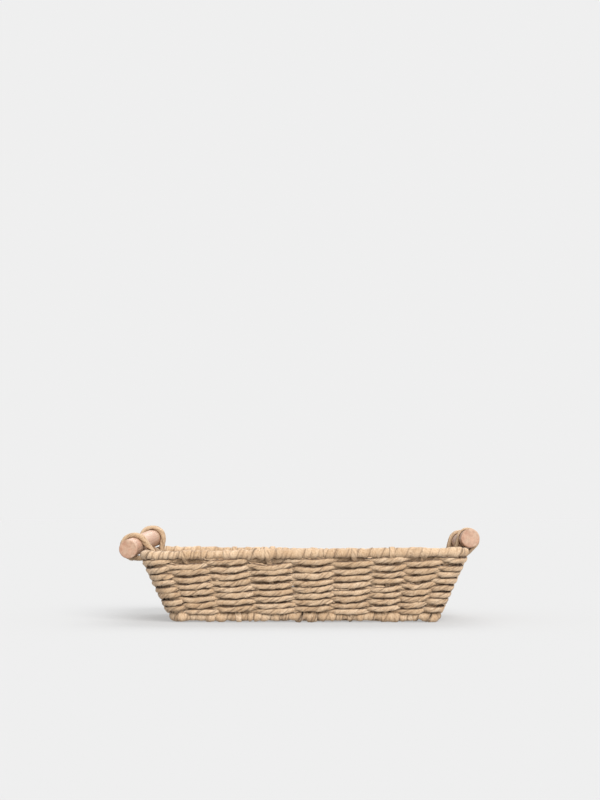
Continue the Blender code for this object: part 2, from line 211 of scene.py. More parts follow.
def softened(points, passes):
    """Rounds the corners of an evenly sampled line, keeping its ends."""
    points = points.copy()
    for _ in range(passes):
        points[1:-1] = (points[:-2] + 2 * points[1:-1] + points[2:]) / 4
    return points


# ---------------------------------------------------------------- ropes


def make_object(name, vertices, faces, attributes, material, body, replaced):
    """A mesh piece in its place. faces is a list of arrays of corner indices, each of one corner count."""
    mesh = bpy.data.meshes.new(name)
    mesh.vertices.add(len(vertices))
    mesh.vertices.foreach_set("co", (vertices * MM).astype(np.float32).ravel())
    corners = np.concatenate([f.ravel() for f in faces])
    sizes = np.concatenate([np.full(len(f), f.shape[1]) for f in faces])
    mesh.loops.add(len(corners))
    mesh.loops.foreach_set("vertex_index", corners.astype(np.int32))
    mesh.polygons.add(len(sizes))
    mesh.polygons.foreach_set("loop_start", (np.cumsum(sizes) - sizes).astype(np.int32))
    mesh.polygons.foreach_set("use_smooth", np.ones(len(sizes), bool))
    mesh.update(calc_edges=True)
    for key, values in attributes.items():
        kind = "FLOAT_VECTOR" if values.ndim == 2 else "FLOAT"
        layer = mesh.attributes.new(key, kind, "POINT")
        field = "vector" if values.ndim == 2 else "value"
        layer.data.foreach_set(field, values.astype(np.float32).ravel())
    mesh.materials.append(material)
    piece = bpy.data.objects.new(name, mesh)
    bpy.context.scene.collection.objects.link(piece)
    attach(piece, body)
    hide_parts(*replaced)


def rope(name, centre, out, half_out, half_side, skin, seed, place, start=0.0, closed=False):
    """Sweeps twisted paper rope along a line. out points from the line to the section's outer side, skin is
    a look, and place is the body and the CAD nodes that the rope stands for."""
    count = len(centre)
    sides = skin["sides"]
    if closed:
        tangent = unit(np.roll(centre, -1, axis=0) - np.roll(centre, 1, axis=0))
    else:
        tangent = unit(np.gradient(centre, axis=0))
    out = unit(out - tangent * np.sum(out * tangent, axis=1, keepdims=True))
    side = np.cross(out, tangent)
    s = start + run_length(centre)
    theta = np.arange(sides) * TAU / sides
    s_grid, theta_grid = np.meshgrid(s, theta, indexing="ij")
    psi = theta_grid - TAU * s_grid / skin["lay"]

    # Paper is folded before it is twisted: its edges run round the rope as steps, its creases as valleys.
    turn = skin["folds"] * (psi + 0.8 * smooth_noise(s_grid, 15.0, seed + 1)) / TAU
    fold = skin["fold_height"] * (1 + 0.6 * smooth_noise(s_grid, 19.0, seed + 6))
    lift = fold * (turn - np.floor(turn) - 0.5)
    lift += skin["bumps"] * skin_noise(s_grid, psi, 7.0, 5, seed + 2)
    lift += 0.5 * skin["bumps"] * skin_noise(s_grid, psi, 2.4, 9, seed + 3)
    crease_and_painted_shade = np.zeros_like(lift)
    for k in range(skin["creases"]):
        middle = TAU * k / skin["creases"] + 0.9 * smooth_noise(s_grid, 13.0, seed + 10 + k)
        away = (psi - middle + math.pi) % TAU - math.pi
        deep = np.clip(0.25 + 1.1 * smooth_noise(s_grid, 8.0, seed + 30 + k), 0, 1)
        crease_and_painted_shade = np.maximum(crease_and_painted_shade, deep * np.exp(-((away / skin["crease_width"]) ** 2)))
    lift -= skin["crease_depth"] * crease_and_painted_shade

    power = 2 / skin["squareness"]
    cos, sin = np.cos(theta_grid), np.sin(theta_grid)
    x = half_out[:, None] * np.sign(cos) * np.abs(cos) ** power + lift * cos
    y = half_side[:, None] * np.sign(sin) * np.abs(sin) ** power + lift * sin
    points = centre[:, None] + out[:, None] * x[..., None] + side[:, None] * y[..., None]
    points[..., 2] = np.maximum(points[..., 2], LOWEST_POINT)

    tone = 0.5 + 0.5 * smooth_noise(s, 46.0, seed + 4)
    tone_grid = np.repeat(tone[:, None], sides, axis=1) + 0.25 * skin_noise(s_grid, psi, 9.0, 4, seed + 5)
    reach = (half_out + half_side)[:, None] / 2
    fibre = np.stack([reach * np.cos(psi), reach * np.sin(psi), s_grid * skin["grain"]], axis=-1)
    # Painted shade: the creases and the two lines where the rope touches its neighbours are marked to be
    # darkened, where shade falls in the gaps.
    beside = np.clip(1.25 - np.abs(cos) / 0.56, 0, 1)
    crease_and_painted_shade = np.maximum(0.75 * crease_and_painted_shade, skin["pinched"] * beside)

    index = np.arange(count * sides).reshape(count, sides)
    after = np.roll(index, -1, axis=0) if closed else index[1:]
    here = index if closed else index[:-1]
    quads = np.stack([here, after, np.roll(after, -1, axis=1), np.roll(here, -1, axis=1)], axis=-1)
    vertices = points.reshape(-1, 3)
    faces = [quads.reshape(-1, 4)]
    values = {"fibre": fibre.reshape(-1, 3), "tone": tone_grid.ravel(), "crease_and_painted_shade": crease_and_painted_shade.ravel()}
    if not closed:
        ends = np.array([len(vertices), len(vertices) + 1])
        vertices = np.concatenate([vertices, [centre[0], centre[-1]]])
        first, last = index[0], index[-1]
        first_fan = np.stack([np.full(sides, ends[0]), first, np.roll(first, -1)], axis=1)
        last_fan = np.stack([np.full(sides, ends[1]), np.roll(last, -1), last], axis=1)
        faces.append(np.concatenate([first_fan, last_fan]))
        values["fibre"] = np.concatenate([values["fibre"], [[0, 0, s[0]], [0, 0, s[-1]]]])
        values["tone"] = np.concatenate([values["tone"], tone[[0, -1]]])
        # Painted shade: the middle of each cut end is marked fully dark.
        values["crease_and_painted_shade"] = np.concatenate([values["crease_and_painted_shade"], [1.0, 1.0]])
    body, replaced = place
    make_object(name, vertices, faces, values, PAPER, body, replaced)


def look(lay, **changes):
    """How a rope's skin looks; lay is the length of one turn of its twist. pinched is painted shade: it
    darkens the two lines where the rope is pressed against its neighbours, where shade falls in the gaps."""
    values = {
        "lay": lay,
        "sides": 20,
        "folds": 2,
        "fold_height": 0.75,
        "bumps": 0.26,
        "creases": 4,
        "crease_width": 0.2,
        "crease_depth": 0.6,
        "squareness": 2.15,
        "grain": 1.0,
        "pinched": 1.0,
    }
    values.update(changes)
    return values


WEAVER_LOOK = look(27.0, sides=WEAVER_SIDES)
WRAP_LOOK = look(80.0, sides=26, pinched=0.5, fold_height=0.2, bumps=0.34, creases=3, crease_depth=0.35,
                 squareness=2.05, grain=2.5)
BASE_WRAP_LOOK = look(46.0, sides=22, pinched=0.65, fold_height=0.6, bumps=0.5, squareness=2.05, grain=2.0)
STAKE_LOOK = look(34.0, sides=18, pinched=0.3, fold_height=0.25, crease_depth=0.34, squareness=2.6)
BASE_LOOK = look(24.0, sides=16, fold_height=0.4)
LOOP_LOOK = look(30.0, pinched=0.2, fold_height=0.35, bumps=0.2, crease_depth=0.4, squareness=2.2)


# ---------------------------------------------------------------- materials


def new_material(name):
    material = bpy.data.materials.new(name)
    material.use_nodes = True
    nodes = material.node_tree.nodes
    return material, nodes, material.node_tree.links, nodes["Principled BSDF"]


def srgb(red, green, blue):
    """A colour given in display values from 0 to 255, as a linear one with alpha."""
    channels = [c / 255 for c in (red, green, blue)]
    return (*[c / 12.92 if c <= 0.04045 else ((c + 0.055) / 1.055) ** 2.4 for c in channels], 1.0)


def attribute(nodes, name):
    node = nodes.new("ShaderNodeAttribute")
    node.attribute_name = name
    return node


def noise_on(nodes, links, vector, stretch, scale, detail):
    """Noise read in a rope's or a dowel's own space, drawn out along its fibres."""
    mapping = nodes.new("ShaderNodeMapping")
    mapping.inputs["Scale"].default_value = stretch
    links.new(vector, mapping.inputs["Vector"])
    noise = nodes.new("ShaderNodeTexNoise")
    noise.inputs["Scale"].default_value = scale
    noise.inputs["Detail"].default_value = detail
    noise.inputs["Roughness"].default_value = 0.6
    links.new(mapping.outputs["Vector"], noise.inputs["Vector"])
    return noise.outputs["Fac"]


def ramp(nodes, links, value, stops):
    node = nodes.new("ShaderNodeValToRGB")
    while len(node.color_ramp.elements) < len(stops):
        node.color_ramp.elements.new(0.5)
    for element, (position, color) in zip(node.color_ramp.elements, stops):
        element.position = position
        element.color = color
    links.new(value, node.inputs["Fac"])
    return node.outputs["Color"]


def mixed(nodes, links, kind, factor, first, second):
    node = nodes.new("ShaderNodeMix")
    node.data_type = "RGBA"
    node.blend_type = kind
    if isinstance(factor, float):
        node.inputs["Factor"].default_value = factor
    else:
        links.new(factor, node.inputs["Factor"])
    for socket, value in (("A", first), ("B", second)):
        target = [i for i in node.inputs if i.name == socket and i.type == "RGBA"][0]
        if isinstance(value, tuple):
            target.default_value = value
        else:
            links.new(value, target)
    return [o for o in node.outputs if o.type == "RGBA"][0]


def scaled(nodes, links, value, factor, add=0.0):
    node = nodes.new("ShaderNodeMath")
    node.operation = "MULTIPLY_ADD"
    links.new(value, node.inputs[0])
    node.inputs[1].default_value = factor
    node.inputs[2].default_value = add
    return node.outputs[0]


def paper_material():
    """Kraft paper: matt, streaked along its twist, with painted shade in its creases and in the gaps between
    strands.
    """
    material, nodes, links, shader = new_material("paper_rope")
    fibre = attribute(nodes, "fibre").outputs["Vector"]
    streaks = noise_on(nodes, links, fibre, (1.0, 1.0, 0.10), 1.9, 6.0)
    patches = noise_on(nodes, links, fibre, (1.0, 1.0, 0.6), 0.11, 3.0)
    flecks = noise_on(nodes, links, fibre, (1.0, 1.0, 0.6), 0.85, 4.0)
    tone = attribute(nodes, "tone").outputs["Fac"]
    base = ramp(nodes, links, tone, [(0.1, srgb(179, 152, 121)), (0.9, srgb(206, 182, 154))])
    streaked = ramp(nodes, links, streaks, [(0.30, srgb(156, 128, 97)), (0.66, srgb(217, 196, 169))])
    color = mixed(nodes, links, "MIX", 0.35, base, streaked)
    patch = ramp(nodes, links, patches, [(0.3, srgb(236, 226, 214)), (0.7, srgb(255, 255, 255))])
    color = mixed(nodes, links, "MULTIPLY", 0.8, color, patch)
    stops = [(0.34, srgb(178, 152, 128)), (0.46, srgb(236, 230, 224)), (0.64, srgb(255, 255, 255))]
    color = mixed(nodes, links, "MULTIPLY", 0.6, color, ramp(nodes, links, flecks, stops))
    # Painted shade: the paper is mixed towards dark brown in its creases and in the gaps between strands,
    # where shade falls.
    crease_and_painted_shade = attribute(nodes, "crease_and_painted_shade").outputs["Fac"]
    deep = scaled(nodes, links, crease_and_painted_shade, 0.96)
    color = mixed(nodes, links, "MIX", deep, color, srgb(68, 42, 23))
    links.new(color, shader.inputs["Base Color"])
    links.new(scaled(nodes, links, streaks, 0.25, 0.62), shader.inputs["Roughness"])
    shader.inputs["Specular IOR Level"].default_value = 0.25
    shader.inputs["Sheen Weight"].default_value = 0.10
    shader.inputs["Sheen Roughness"].default_value = 0.6
    wrinkle = noise_on(nodes, links, fibre, (1.0, 1.0, 0.4), 0.7, 5.0)
    bump = nodes.new("ShaderNodeBump")
    bump.inputs["Strength"].default_value = 0.9
    bump.inputs["Distance"].default_value = 1.1 * MM
    links.new(wrinkle, bump.inputs["Height"])
    fine = nodes.new("ShaderNodeBump")
    fine.inputs["Strength"].default_value = 0.5
    fine.inputs["Distance"].default_value = 0.25 * MM
    links.new(streaks, fine.inputs["Height"])
    links.new(bump.outputs["Normal"], fine.inputs["Normal"])
    links.new(fine.outputs["Normal"], shader.inputs["Normal"])
    return material


def wood_material():
    """Pale, pinkish, unvarnished wood; the fibre space's third axis runs along the grain."""
    material, nodes, links, shader = new_material("dowel_wood")
    fibre = attribute(nodes, "fibre").outputs["Vector"]
    rings = noise_on(nodes, links, fibre, (1.0, 1.0, 0.03), 0.28, 3.0)
    pores = noise_on(nodes, links, fibre, (1.0, 1.0, 0.06), 2.2, 4.0)
    cloudy = noise_on(nodes, links, fibre, (1.0, 1.0, 0.25), 0.16, 2.0)
    color = ramp(nodes, links, rings, [(0.34, srgb(156, 129, 109)), (0.64, srgb(177, 151, 131))])
    pore = ramp(nodes, links, pores, [(0.30, srgb(205, 176, 156)), (0.50, srgb(255, 255, 255))])
    color = mixed(nodes, links, "MULTIPLY", 0.6, color, pore)
    cloud = ramp(nodes, links, cloudy, [(0.35, srgb(244, 214, 200)), (0.65, srgb(255, 250, 244))])
    color = mixed(nodes, links, "MULTIPLY", 0.7, color, cloud)
    links.new(color, shader.inputs["Base Color"])
    links.new(scaled(nodes, links, pores, 0.25, 0.42), shader.inputs["Roughness"])
    bump = nodes.new("ShaderNodeBump")
    bump.inputs["Strength"].default_value = 0.3
    bump.inputs["Distance"].default_value = 0.15 * MM
    links.new(pores, bump.inputs["Height"])
    links.new(bump.outputs["Normal"], shader.inputs["Normal"])
    return material


def wire_material():
    """Annealed steel wire: dull and slightly mottled. Its dark warm grey-brown is partly its own colour and
    partly painted shade, so that wire seen between the strands reads as shadow.
    """
    material, nodes, links, shader = new_material("frame_wire")
    place = nodes.new("ShaderNodeTexCoord").outputs["Object"]
    lines = noise_on(nodes, links, place, (1.0, 1.0, 1.0), 900.0, 3.0)
    links.new(ramp(nodes, links, lines, [(0.3, srgb(92, 80, 66)), (0.7, srgb(126, 112, 95))]),
              shader.inputs["Base Color"])
    links.new(scaled(nodes, links, lines, 0.3, 0.45), shader.inputs["Roughness"])
    shader.inputs["Metallic"].default_value = 0.4
    return material


PAPER = paper_material()
WOOD = wood_material()
WIRE = wire_material()


# ---------------------------------------------------------------- the frame, measured


def node_points(node):
    """A CAD node's vertices, in millimetres."""
    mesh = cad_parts[node].data
    values = np.empty(len(mesh.vertices) * 3)
    mesh.vertices.foreach_get("co", values)
    return values.reshape(-1, 3) / MM


def half_sizes(node):
    """Half the length and half the width of a ring of wire, along its centreline."""
    points = node_points(node)
    return (points.max(0) - points.min(0))[:2] / 2 - WIRE_RADIUS


base_wire = node_points("base_wire")
MIDDLE = np.array([(base_wire[:, 0].max() + base_wire[:, 0].min()) / 2, 0.0])
BASE_Z = base_wire[:, 2].mean()
RIM_HALF = half_sizes("rim_wire")
BASE_HALF = half_sizes("base_wire")


def warp_terms(x, y):
    """What the rim's height is made of: level, tilt along x and y, and twist."""
    x, y = x - MIDDLE[0], y - MIDDLE[1]
    return np.stack([np.ones_like(x), x, y, x * y], axis=-1)


rim_wire = node_points("rim_wire")
RIM_WARP = np.linalg.lstsq(warp_terms(rim_wire[:, 0], rim_wire[:, 1]), rim_wire[:, 2], rcond=None)[0]


def with_height(points, on_rim):
    """Gives flat points the height of the warped rim or of the base wire."""
    z = warp_terms(points[:, 0], points[:, 1]) @ RIM_WARP if on_rim else np.full(len(points), BASE_Z)
    return np.column_stack([points, z])


def stake_place(node, travel):
    """How far along a wall a stake is, at the rim and at the base."""
    points = node_points(node)
    along = (points[:, :2] - MIDDLE) @ travel
    height = points[:, 2]
    return along[height > height.max() - 3].mean(), along[height < height.min() + 1].mean()


CROSS_STAKES = [f"cross_stake_{k}" for k in range(1, 8)]
WALLS = []
for normal, nodes_there in (
    ((-1, 0), [f"left_end_stake_{k}" for k in range(1, 5)]),
    ((0, -1), CROSS_STAKES),
    ((1, 0), [f"right_end_stake_{k}" for k in range(1, 5)]),
    ((0, 1), CROSS_STAKES),
):
    normal = np.array(normal, float)
    travel = np.array([-normal[1], normal[0]])
    halves = [(h @ np.abs(normal), h @ np.abs(travel)) for h in (RIM_HALF, BASE_HALF)]
    places = sorted(stake_place(node, travel) for node in nodes_there)
    WALLS.append({"normal": normal, "travel": travel, "rim": halves[0], "base": halves[1], "stakes": places})


def wall_knots():
    """The wall's outline as rows of rim point, base point, outward normal and station, and the corner posts'
    stations. Stakes and corner posts have whole station numbers, and what lies between them has none."""
    rim, base, normals, stations, posts = [], [], [], [], []

    def add(rim_place, base_place, outward, number):
        rim.append(MIDDLE + rim_place)
        base.append(MIDDLE + base_place)
        normals.append(outward)
        stations.append(number)

    station = 0
    for wall in WALLS:
        normal, travel = wall["normal"], wall["travel"]
        ends = (wall["rim"][1] - RIM_CORNER, wall["base"][1] - BASE_CORNER)
        straight = [(-ends[0], -ends[1], np.nan)]
        for at_rim, at_base in wall["stakes"]:
            straight.append((at_rim, at_base, station))
            station += 1
        straight.append((*ends, np.nan))
        for at_rim, at_base, number in straight:
            rim_place = normal * wall["rim"][0] + travel * at_rim
            base_place = normal * wall["base"][0] + travel * at_base
            add(rim_place, base_place, normal, number)
        for step in range(1, ARC_STEPS):
            turn = math.radians(90) * step / ARC_STEPS
            outward = normal * math.cos(turn) + travel * math.sin(turn)
            corners = []
            for (across, along), radius in ((wall["rim"], RIM_CORNER), (wall["base"], BASE_CORNER)):
                corners.append(normal * (across - radius) + travel * (along - radius) + outward * radius)
            if step * 2 == ARC_STEPS:
                add(*corners, outward, station)
                posts.append(station)
                station += 1
            else:
                add(*corners, outward, np.nan)
    return np.array(rim), np.array(base), np.array(normals), np.array(stations, float), posts, station


def closed_loop(array):
    return np.concatenate([array, array[:1]])


KNOTS_RIM, KNOTS_BASE, KNOTS_NORMAL, KNOTS_STATION, POSTS, STATIONS = wall_knots()


def outline(step):
    """The wall's outline sampled evenly, as rim points, base points, normals and a station value that grows
    by one from each stake or post to the next."""
    rim, base, normals = (closed_loop(a) for a in (KNOTS_RIM, KNOTS_BASE, KNOTS_NORMAL))
    middle = (rim + base) / 2
    length = run_length(middle)
    known = ~np.isnan(KNOTS_STATION)
    at, values = length[:-1][known], KNOTS_STATION[known]
    held = []
    # The end wall lies before the first and the third post, and after the others.
    for post, side in zip(POSTS, (-1, 1, -1, 1)):
        held.append((at[post] + side * CORNER_HOLD, post + side * 0.5))
    at = np.append(at, [place for place, _ in held])
    values = np.append(values, [value for _, value in held])
    order = np.argsort(at)
    at, values = at[order], values[order]
    at = np.concatenate([at[-1:] - length[-1], at, at[:1] + length[-1]])
    values = np.concatenate([values[-1:] - STATIONS, values, values[:1] + STATIONS])
    station = np.interp(length, at, values)
    _, rim, base, normals, station = resampled(middle, step, rim, base, normals, station)
    normals = np.column_stack([unit(normals), np.zeros(len(normals))])
    return with_height(rim, True)[:-1], with_height(base, False)[:-1], normals[:-1], station[:-1]


# ---------------------------------------------------------------- the wall


def weaver(name, first_z, sign, lead_in, run_out, top_rise, seed):
    """One of the two ropes that go round the wall. It is outside at every other stake, where its strand
    swells and hides the other rope, and it is thin where the two change places. It starts lead_in stations
    early and ends run_out stations late, and its last turn is pushed up against the rim by top_rise."""
    rim, base, normals, station = outline(WEAVER_STEP)
    count = len(rim)
    turns = ROWS // 2
    climb_from = np.searchsorted(station, STATIONS - CLIMB_STATIONS)
    start = np.searchsorted(station, STATIONS - lead_in) - count if lead_in else 0
    stop = (turns - 1) * count + np.searchsorted(station, STATIONS - CLIMB_STATIONS + run_out)
    at = np.arange(start, stop)
    turn, place = np.divmod(at, count)
    share = np.clip((place - climb_from) / (count - climb_from), 0, 1)
    share = share * share * (3 - 2 * share)
    share[(turn < 0) | (turn >= turns - 1)] = 0
    z = first_z + 2 * ROW_PITCH * (np.maximum(turn, 0) + share)

    centre_line = base[place] + (rim - base)[place] * ((z - BASE_Z) / (RIM_WARP[0] - BASE_Z))[:, None]
    s = run_length(centre_line)
    wave = np.cos(math.pi * station[place]) * sign
    slant = np.sin(math.pi * station[place]) * sign
    shift = np.tanh(CROSSING_SHARPNESS * wave) / math.tanh(CROSSING_SHARPNESS)
    fullness = 1 - (1 - np.abs(wave)) ** STRAND_TAPER
    strand = np.round(station[place]) + turn * STATIONS
    height = CROSSING_HEIGHT + (STRAND_HEIGHT - CROSSING_HEIGHT) * fullness
    height *= 1 + INSIDE_GROWTH * np.clip(-wave, 0, 1) + 0.08 * smooth_noise(strand, 0.7, seed + 50)
    height *= 1 + 0.10 * smooth_noise(s, 8.0, seed + 51)
    depth = STRAND_DEPTH * (1 + 0.1 * smooth_noise(s, 13.0, seed + 52))
    from_post = np.min([np.abs(station[place] - post) for post in POSTS], axis=0)
    at_post = np.clip(1.2 - 2 * from_post, 0, 1)
    inside_corner = at_post * np.clip(-wave, 0, 1)
    height *= 1 + CORNER_GROWTH * at_post + CORNER_INSIDE_GROWTH * inside_corner
    offset = WEAVER_WAVE * shift * (1 - CORNER_INSIDE_PULL * inside_corner)
    offset *= 1 + 0.1 * smooth_noise(strand, 0.7, seed + 53)
    offset += 0.35 * smooth_noise(s, 10.0, seed + 54)
    sag = STRAND_SAG * np.clip(wave, 0, 1) * (1 + 0.8 * smooth_noise(strand, 0.6, seed + 55))
    rise = STRAND_LIFT + top_rise * (turn == turns - 1) - sag + STRAND_SLANT * slant
    rise += 0.6 * smooth_noise(s, 12.0, seed + 56) + 0.4 * smooth_noise(strand, 0.5, seed + 57)
    low = z < FIRST_ROW_Z + 1
    rise[low] = np.maximum(rise[low], FIRST_ROW_DROP)
    up = unit(rim - base)[place]
    centre = centre_line + normals[place] * offset[:, None] + up * rise[:, None]
    lean = unit(np.cross(np.cross(up, normals[place]), up))
    from_end = np.minimum(s - s[0], s[-1] - s)
    thin = np.minimum(1, (from_end + WEAVER_END_START) / WEAVER_END_TAPER)
    for k in range(turns):
        inside = np.flatnonzero((turn == k) | ((k == 0) & (turn < 0)))
        piece = np.arange(inside[0], min(inside[-1] + 2, len(at)))
        rope(f"{name}_turn_{k + 1}", centre[piece], lean[piece], (depth * thin / 2)[piece],
             (height * thin / 2)[piece], WEAVER_LOOK, seed, ("basket", [name]), start=s[piece[0]])


def wound(name, points, normals, shape, lead, half_thickness, skin, seed, place):
    """Rope wound along a wire that closes on itself, as one flattened rope in a coil. It keeps clear of the
    floor. shape gives the coil's outer radius, how uneven it is and the rope's share of its full size."""
    closed_points = closed_loop(points)
    s = run_length(closed_points)
    total = s[-1]
    turns = int(round(total / lead))
    fine = np.linspace(0, total, 4000)
    pace = 1 + 0.32 * smooth_noise(fine, 13.0, seed + 60) + 0.12 * smooth_noise(fine, 31.0, seed + 61)
    phase = np.concatenate([[0], np.cumsum((pace[1:] + pace[:-1]) / 2)])
    phase *= turns / phase[-1]
    turn = np.arange(turns * WRAP_RINGS) / WRAP_RINGS
    along = np.interp(turn, phase, fine)
    local_lead = np.interp(turn + 0.5, phase, fine) - np.interp(turn - 0.5, phase, fine)
    local_lead[turn < 0.5] = lead
    local_lead[turn > turns - 0.5] = lead
    middle = np.stack([np.interp(along, s, c) for c in closed_points.T], axis=1)
    outward = unit(np.stack([np.interp(along, s, c) for c in closed_loop(normals).T], axis=1))
    angle = TAU * turn
    radial = outward * np.cos(angle)[:, None] + UP * np.sin(angle)[:, None]
    reach, uneven, size = shape(along, angle)
    ragged = 0.5 * smooth_noise(turn, 0.8, seed + 62) + 0.3 * smooth_noise(turn, 1.7, seed + 63)
    to_floor = (middle[:, 2] - WRAP_FLOOR_GAP) / np.maximum(-radial[:, 2], 0.05)
    reach = np.minimum(reach + uneven * ragged, to_floor)
    centre = middle + radial * (reach - half_thickness * size)[:, None]
    tangent = unit(np.roll(centre, -1, axis=0) - np.roll(centre, 1, axis=0))
    side = np.cross(radial, tangent)
    roll = WRAP_TILT + 0.14 * smooth_noise(turn, 0.9, seed + 64)
    out = radial * np.cos(roll)[:, None] + side * np.sin(roll)[:, None]
    half_side = WRAP_OVERLAP * local_lead * size * (1 + 0.05 * smooth_noise(turn, 0.8, seed + 65))
    half_out = half_thickness * size * (1 + 0.12 * smooth_noise(turn, 0.7, seed + 66))
    rope(name, centre, out, half_out, half_side, skin, seed, place, closed=True)


def arc(middle, normal, degrees, radius, steps):
    """Points on an arc round a wire, in the vertical plane of a wall's normal."""
    angles = np.radians(np.linspace(degrees[0], degrees[1], steps))
    return middle + radius * (normal * np.cos(angles)[:, None] + UP * np.sin(angles)[:, None])


def stake_line(rim, base, normal, over_rim, proud=(0.0, 0.0)):
    """A stake's way from its fold at the rim down the wall and round under the base wire. proud is added to
    the radius of its folds, at the rim and at the base."""
    down = unit(base - rim)
    degrees = RIM_FOLD_DEGREES if over_rim else RIM_TUCK_DEGREES
    fold = arc(rim, normal, degrees, RIM_FOLD_RADIUS + proud[0], FOLD_POINTS)
    wall = np.array([rim + down * 7.5, rim + down * 14, base - down * 9, base - down * 6.5])
    foot = arc(base, normal, FOOT_DEGREES, BASE_FOLD_RADIUS + proud[1], FOOT_POINTS)
    return np.concatenate([fold, wall, foot])


def stake_rope(name, line, width_axis, seed, node, profile):
    """A stake as flat rope. profile gives its half thickness and half width along the line."""
    line, half_thickness, half_width = resampled(line, 1.0, *profile)
    line = softened(line, 4)
    tangent = unit(np.gradient(line, axis=0))
    out = np.cross(tangent, np.broadcast_to(width_axis, tangent.shape))
    s = run_length(line)
    half_thickness = half_thickness * (1 + 0.1 * smooth_noise(s, 9.0, seed + 70))
    half_width = half_width * (1 + 0.09 * smooth_noise(s, 8.0, seed + 71))
    line = line + width_axis * (0.5 * smooth_noise(s, 16.0, seed + 72))[:, None]
    rope(name, line, out, half_thickness, half_width, STAKE_LOOK, seed, ("basket", [node]))


def stake_profile(foot_points):
    """Half thickness and half width at each point of a stake's line."""
    return np.array([FOLD_HALF] * FOLD_POINTS + [WALL_HALF] * 4 + [FOLD_HALF] * foot_points)


def wall_ends(wall, at_rim, at_base):
    """A stake's places on the rim wire and on the base wire, and the wall's normal."""
    rim = MIDDLE + wall["normal"] * wall["rim"][0] + wall["travel"] * at_rim
    base = MIDDLE + wall["normal"] * wall["base"][0] + wall["travel"] * at_base
    return with_height(rim[None], True)[0], with_height(base[None], False)[0], np.append(wall["normal"], 0)


def cross_stake(number, at_rim, at_base):
    """Down the front wall, across the base and up the back wall."""
    _, front, _, back = WALLS
    lines = []
    for wall, sign, proud in ((front, 1, FRONT_PROUD), (back, -1, BACK_PROUD)):
        rim, base, normal = wall_ends(wall, at_rim * sign, at_base * sign)
        foot = SUNK_FOOT if number % 2 else 0.0
        line = stake_line(rim, base, normal, True, (proud[number - 1], foot))
        inward = np.array([base - normal * 9, base - normal * 16])
        inward[:, 2] = BASE_STAKE_Z
        lines.append(np.concatenate([line, inward]))
    halves = np.concatenate([stake_profile(FOOT_POINTS), [WALL_HALF, WALL_HALF]])
    line = np.concatenate([lines[0], lines[1][::-1]])
    profile = np.concatenate([halves, halves[::-1]])
    name = f"cross_stake_{number}"
    stake_rope(name + "_rope", line, np.array([1.0, 0, 0]), 300 + 7 * number, name, profile.T)


def end_stake(wall, end, at_rim, at_base):
    """Down an end wall, tucked under the base."""
    rim, base, normal = wall_ends(wall, at_rim, at_base)
    line = stake_line(rim, base, normal, False)
    tuck = arc(base, normal, FOOT_TUCK_DEGREES, BASE_FOLD_RADIUS, TUCK_POINTS)
    names = [f"{end}_end_stake_{k}" for k in range(1, 5)]
    nearest = int(np.argmin([abs(node_points(name)[:, 1].mean() - rim[1]) for name in names]))
    seed = 400 + 50 * (end == "right") + 7 * (nearest + 1)
    stake_rope(names[nearest] + "_rope", np.concatenate([line, tuck]), np.append(wall["travel"], 0), seed,
               names[nearest], stake_profile(FOOT_POINTS + TUCK_POINTS).T)


def stakes():
    left, front, right, _ = WALLS
    for number, (at_rim, at_base) in enumerate(front["stakes"], start=1):
        cross_stake(number, at_rim, at_base)
    for wall, end in ((left, "left"), (right, "right")):
        for at_rim, at_base in wall["stakes"]:
            end_stake(wall, end, at_rim, at_base)


# ---------------------------------------------------------------- the base


def base_weave():
    """One rope laid to and fro along the base, over and under the cross stakes."""
    xs = np.array([at_base for _, at_base in WALLS[1]["stakes"]])
    knots = np.concatenate([[-BASE_TURN_X], xs, [BASE_TURN_X]])
    orders = np.arange(len(knots)) - 1.0
    points, widths = [], []
    for strand in range(BASE_STRANDS):
        y = (strand - (BASE_STRANDS - 1) / 2) * BASE_STRAND_PITCH
        x = np.linspace(-BASE_TURN_X, BASE_TURN_X, BASE_STRAND_POINTS)
        wave = np.cos(math.pi * np.interp(x, knots, orders)) * (1 if strand % 2 == 0 else -1)
        fade = np.clip((BASE_TURN_X - np.abs(x)) / BASE_TURN_FADE, 0, 1)
        shift = BASE_WAVE * np.tanh(CROSSING_SHARPNESS * wave) / math.tanh(CROSSING_SHARPNESS)
        z = BASE_STAKE_Z + shift * fade
        line = np.column_stack([x + MIDDLE[0], np.full_like(x, y), z])
        width = BASE_HALF_WIDTH - 0.3 * (1 - np.abs(wave)) - 0.3 * (1 - fade)
        if strand % 2:
            line, width = line[::-1], width[::-1]
        points.append(line)
        widths.append(width)
        if strand < BASE_STRANDS - 1:
            side = 1 if strand % 2 == 0 else -1
            angles = np.radians(np.linspace(-70, 70, BASE_TURN_POINTS))
            turn_x = side * (BASE_TURN_X + BASE_STRAND_PITCH / 2 * np.cos(angles)) + MIDDLE[0]
            turn_y = y + BASE_STRAND_PITCH / 2 * (1 + np.sin(angles))
            points.append(np.column_stack([turn_x, turn_y, np.full(BASE_TURN_POINTS, BASE_STAKE_Z)]))
            widths.append(np.full(BASE_TURN_POINTS, BASE_TURN_HALF_WIDTH))
    line, half_width = resampled(np.concatenate(points), 1.3, np.concatenate(widths))
    s = run_length(line)
    line[:, 1] += 0.35 * smooth_noise(s, 15.0, 601)
    line[:, 2] += 0.2 * smooth_noise(s, 11.0, 602)
    half_width = half_width * (1 + 0.07 * smooth_noise(s, 12.0, 603))
    thickness = BASE_HALF_THICKNESS * (1 + 0.08 * smooth_noise(s, 14.0, 604))
    out = np.broadcast_to(UP, line.shape)
    rope("base_weaver_rope", line, out, thickness, half_width, BASE_LOOK, 600, ("basket", ["base_weaver"]))


# ---------------------------------------------------------------- handles


